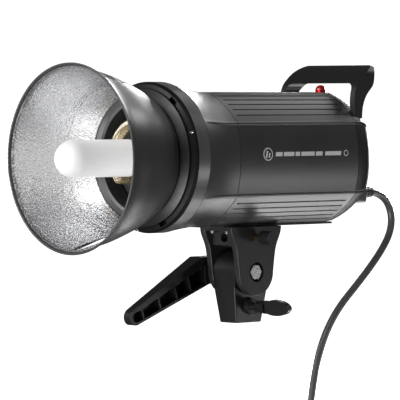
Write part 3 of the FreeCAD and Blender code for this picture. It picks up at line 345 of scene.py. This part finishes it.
SKIN_GAP = 0.0003         # the skin lies this far inside the bell's inner wall
BELL_INNER = [(2.0, 86.6), (6.0, 84.8), (15.0, 82.55), (25.0, 80.2), (34.0, 77.75), (42.6, 75.0), (50.0, 72.45),
              (58.0, 69.7), (67.6, 65.4), (76.0, 61.2), (80.5, 59.0)]
ROW_STEP = 0.62           # mm between rows of the mesh along the wall
DIMPLES_ROUND = 148
POINTS_PER_DIMPLE = 5
DIMPLE_ROW = 3.0          # mm
DIMPLE_DEPTH = 0.24       # mm
DIMPLE_REACH = 0.36       # square of a dimple's radius, in dimple spacings
DIMPLE_FLAT = 1.1         # dimples are a little shorter along the wall
DEPTH_RANGE = (0.55, 1.15)
SHIFT_RANGE = (-0.22, 0.22)
SHAFT_HOLE = (0.0, -78.3)  # x and height over the beam, mm
SHAFT_HOLE_R = 6.05
HOLE_EDGE = 1.2           # points this close outside the hole are drawn onto its edge, mm


def wall_radius(s):
    return np.interp(s, [p[0] for p in BELL_INNER], [p[1] for p in BELL_INNER]) - SKIN_GAP * 1000


def hammered_skin():
    rng = np.random.default_rng(7)
    around = DIMPLES_ROUND * POINTS_PER_DIMPLE
    start, end = BELL_INNER[0][0], BELL_INNER[-1][0]
    rows = int((end - start) / ROW_STEP)
    dimple_rows = int((end - start) / DIMPLE_ROW) + 3
    deep = rng.uniform(*DEPTH_RANGE, (dimple_rows, DIMPLES_ROUND))
    shift = rng.uniform(*SHIFT_RANGE, (dimple_rows, DIMPLES_ROUND, 2))
    b = bmesh.new()
    grid = []
    for i in range(rows + 1):
        s = start + (end - start) * i / rows
        row = s / DIMPLE_ROW
        ring = []
        for j in range(around):
            across = j / POINTS_PER_DIMPLE
            sink = 0.0
            for di in (math.floor(row), math.floor(row) + 1):
                offset = 0.5 * (di % 2)
                dj = round(across - offset)
                u, v = shift[di % dimple_rows, dj % DIMPLES_ROUND]
                dx = across - offset - dj - u
                dy = row - di - v
                reach = (dx * dx + dy * dy * DIMPLE_FLAT) / DIMPLE_REACH
                if reach < 1.0:
                    sink = max(sink, deep[di % dimple_rows, dj % DIMPLES_ROUND] * (1 - reach))
            r = wall_radius(s) - DIMPLE_DEPTH * (DEPTH_RANGE[1] - sink)
            a = 2 * math.pi * j / around
            x, z = r * math.cos(a), r * math.sin(a)
            ring.append(b.verts.new(station(x, s, z)))
        grid.append(ring)
    for i in range(rows):
        for j in range(around):
            k = (j + 1) % around
            b.faces.new((grid[i][j], grid[i][k], grid[i + 1][k], grid[i + 1][j]))
    hole = station(SHAFT_HOLE[0], 0, SHAFT_HOLE[1])
    cut = [v for v in b.verts if math.hypot(v.co.x - hole.x, v.co.z - hole.z) < SHAFT_HOLE_R / 1000]
    bmesh.ops.delete(b, geom=cut, context="VERTS")
    for v in b.verts:
        if v.is_boundary:
            away = Vector((v.co.x - hole.x, 0, v.co.z - hole.z))
            if away.length < (SHAFT_HOLE_R + HOLE_EDGE) / 1000:
                target = away.normalized() * SHAFT_HOLE_R / 1000
                v.co.x, v.co.z = hole.x + target.x, hole.z + target.z
    return b


reflector_body = next(name for name, members in frame["record"]["behaviour"]["bodies"].items()
                      if "reflector" in members)
mesh_object("bowl_skin", hammered_skin(), "silver", reflector_body)


# ---------------------------------------------------------------- printed marks

PANEL_TOP_X = 61.5        # widest point of the side panel
PANEL_MID_Z = -2.0
PANEL_CURVE = 0.004437
PANEL_BACK = 334.0        # the control panel's face
DISPLAY_BACK = 335.0      # the display window's face
INK = 0.12                # height of printed marks over their face, mm
INK_ROOT = -0.05          # how far they reach into it


def on_side(s, z, lift):
    x = PANEL_TOP_X - PANEL_CURVE * (z - PANEL_MID_Z) ** 2
    return station(x + lift, s, z)


def on_back(x, z, lift):
    return station(x, PANEL_BACK + lift, z)


def printed(shapes, place):
    """Thin raised shapes. Each is a closed outline of (u, v) points, and None or a hole of as many points."""
    b = bmesh.new()
    for outer, inner in shapes:
        n = len(outer)
        top = [b.verts.new(place(u, v, INK)) for u, v in outer]
        low = [b.verts.new(place(u, v, INK_ROOT)) for u, v in outer]
        for k in range(n):
            b.faces.new((low[k], low[(k + 1) % n], top[(k + 1) % n], top[k]))
        if inner:
            hole = [b.verts.new(place(u, v, INK)) for u, v in inner]
            for k in range(n):
                b.faces.new((top[k], top[(k + 1) % n], hole[(k + 1) % n], hole[k]))
        else:
            b.faces.new(top)
    bmesh.ops.recalc_face_normals(b, faces=b.faces)
    return b


def bar(u0, u1, v0, v1, slant=0.0):
    """Bar cut into short lengths, so that it follows a curved face."""
    steps = 8
    low = [(u0 + (u1 - u0) * k / steps, v0) for k in range(steps + 1)]
    high = [(u0 + slant + (u1 - u0) * k / steps, v1) for k in range(steps, -1, -1)]
    return low + high, None


def circle(u, v, r, hole_r=None, points=40):
    turn = [(math.cos(2 * math.pi * k / points), math.sin(2 * math.pi * k / points)) for k in range(points)]
    outer = [(u + r * c, v + r * s) for c, s in turn]
    return outer, [(u + hole_r * c, v + hole_r * s) for c, s in turn] if hole_r else None


# A plain letterless mark on both sides: a ring with two slanted strokes, then a row of bars.
BAR_LOW, BAR_HIGH, BAR_SLANT, BAR_GAP = 0.6, 4.6, 0.6, 1.8
MARK_MIDDLE = 2.7
mark = [circle(196.0, MARK_MIDDLE, 6.2, 5.2), bar(192.6, 194.6, -0.6, 6.0, 1.6),
        bar(196.4, 198.2, -0.6, 4.0, 1.0)]
reached = 206.0
for width in (9.0, 14.0, 6.0, 18.0, 9.0):
    mark.append(bar(reached, reached + width, BAR_LOW, BAR_HIGH, BAR_SLANT))
    reached += width + BAR_GAP
mark += [bar(reached + 2.0, reached + 24.0, BAR_LOW, BAR_HIGH, BAR_SLANT),
         circle(reached + 31.0, MARK_MIDDLE, 3.0, 2.2, 24)]
mesh_object("mark_left", printed(mark, on_side), "print", "housing", False)


def on_other_side(s, z, lift):
    mirrored = on_side(s, z, lift)
    mirrored.x = -mirrored.x
    return mirrored


mesh_object("mark_right", printed(mark, on_other_side), "print", "housing", False)

# Ticks round the dial, lines beside the keys, and one line over the switch.
DIAL_AT = (-17.0, -2.0)
TICKS = 11
FIRST_TICK = 225
TICK_STEP = 27
TICK_CORNERS = ((13.2, -0.25), (15.2, -0.25), (15.2, 0.25), (13.2, 0.25))
KEY_LINE = 2.2            # half its length
LINE_THICK = 0.5
ticks = []
for k in range(TICKS):
    a = math.radians(FIRST_TICK - TICK_STEP * k)
    outline = []
    for r, w in TICK_CORNERS:
        outline.append((DIAL_AT[0] + r * math.cos(a) - w * math.sin(a),
                        DIAL_AT[1] + r * math.sin(a) + w * math.cos(a)))
    ticks.append((outline, None))
for x in (7.0, 20.0):
    for z in (10.6, -1.4):
        ticks.append(bar(x - KEY_LINE, x + KEY_LINE, z, z + LINE_THICK))
ticks.append(bar(-31.0, -9.0, -46.8, -46.3))
mesh_object("panel_print", printed(ticks, on_back), "print", "housing", False)

# Two digits of seven segments: across (0 or 1), up (0 to 2), lying flat (1) or upright (0).
SEGMENTS = {"a": (0, 2, 1), "g": (0, 1, 1), "d": (0, 0, 1), "f": (0, 1, 0), "e": (0, 0, 0), "b": (1, 1, 0),
            "c": (1, 0, 0)}
DIGIT_AT = (-9.0, 20.0)
DIGIT_PITCH = 11.0
DIGIT_WIDE = 6.0
HALF_HIGH = 5.0
SEGMENT_GAP = 0.6
SEGMENT_HALF = 0.4
digits = []
for n, lit in enumerate(("abcdefg", "abcdef")):
    for letter in lit:
        i, j, flat = SEGMENTS[letter]
        u = DIGIT_AT[0] + DIGIT_PITCH * n + DIGIT_WIDE * i
        v = DIGIT_AT[1] + HALF_HIGH * j
        if flat:
            digits.append(bar(u + SEGMENT_GAP, u + DIGIT_WIDE - SEGMENT_GAP,
                              v - SEGMENT_HALF, v + SEGMENT_HALF))
        else:
            digits.append(bar(u - SEGMENT_HALF, u + SEGMENT_HALF,
                              v + SEGMENT_GAP, v + HALF_HIGH - SEGMENT_GAP))


def on_display(x, z, lift):
    return station(x, DISPLAY_BACK + lift, z)


mesh_object("display_digits", printed(digits, on_display), "print", "housing", False)


# ---------------------------------------------------------------- floor, light, view

FLOOR_DROP = 0.004
FLOOR_R = 60.0
disc = bmesh.new()
bmesh.ops.create_circle(disc, cap_ends=True, radius=FLOOR_R, segments=96)
floor_mesh = bpy.data.meshes.new("floor")
disc.to_mesh(floor_mesh)
disc.free()
floor = bpy.data.objects.new("floor", floor_mesh)
bpy.context.scene.collection.objects.link(floor)
floor.location.z = cad_box[0][2] - FLOOR_DROP
pale = surface("floor_paint", grey(0.82), 0.7, grain=40, bump=0.02, vary=0.01)
shader_of(pale).inputs["Emission Color"].default_value = (1.0, 1.0, 1.0, 1.0)
shader_of(pale).inputs["Emission Strength"].default_value = 1.2
floor_mesh.materials.append(pale)
for kind in ("glossy", "diffuse", "transmission", "shadow"):  # the lamp itself hangs in a dark studio
    setattr(floor, "visible_" + kind, False)

# The background is white in view, and nearly dark in reflections.
world = bpy.data.worlds.new("studio")
bpy.context.scene.world = world
world.use_nodes = True
world_tree = world.node_tree
sky = world_tree.nodes["Background"]
sky.inputs["Color"].default_value = (0.06, 0.06, 0.061, 1.0)
white = node(world_tree, "ShaderNodeBackground", Color=(1.0, 1.0, 1.0, 1.0), Strength=1.1)
path = world_tree.nodes.new("ShaderNodeLightPath")
both = world_tree.nodes.new("ShaderNodeMixShader")
world_tree.links.new(path.outputs["Is Camera Ray"], both.inputs[0])
world_tree.links.new(sky.outputs[0], both.inputs[1])
world_tree.links.new(white.outputs[0], both.inputs[2])
world_tree.links.new(both.outputs[0], world_tree.nodes["World Output"].inputs["Surface"])


def softbox(name, place, target, size, power):
    data = bpy.data.lights.new(name, "AREA")
    data.shape = "RECTANGLE"
    data.size, data.size_y = size
    data.energy = power
    lamp = bpy.data.objects.new(name, data)
    bpy.context.scene.collection.objects.link(lamp)
    aim = (Vector(target) - Vector(place)).to_track_quat("-Z", "Y")
    lamp.matrix_world = Matrix.Translation(place) @ aim.to_matrix().to_4x4()
    lamp.visible_camera = False


# Name, place, aim, size in metres, power in watts.
LIGHTS = (
    ("key", (-0.7, -1.8, 0.9), (0.0, -0.1, 0.12), (0.9, 0.9), 20.0),
    ("front", (0.30, -1.7, 1.3), (0.0, -0.2, 0.12), (1.6, 1.0), 15.0),
    ("front_low", (0.25, -1.8, -0.75), (0.0, -0.2, 0.12), (1.6, 0.8), 31.0),
    ("back_high", (-0.30, 1.25, 1.25), (0.0, 0.0, 0.16), (0.7, 0.5), 2.2),
    ("back_left", (-0.95, 1.60, 0.46), (0.0, -0.05, 0.16), (0.7, 0.7), 46.0),
    ("back_low", (0.0, 1.0, -0.85), (0.0, 0.0, 0.12), (0.9, 0.4), 6.5),
    ("side", (1.5, 1.4, -0.52), (0.0, 0.1, 0.12), (0.5, 0.5), 5.0),
    ("ridge", (0.35, 1.6, 1.2), (0.0, 0.05, 0.16), (0.4, 0.3), 6.0),
)
for light in LIGHTS:
    softbox(*light)

bpy.context.scene.view_settings.view_transform = "Standard"
bpy.context.scene.view_settings.look = "None"
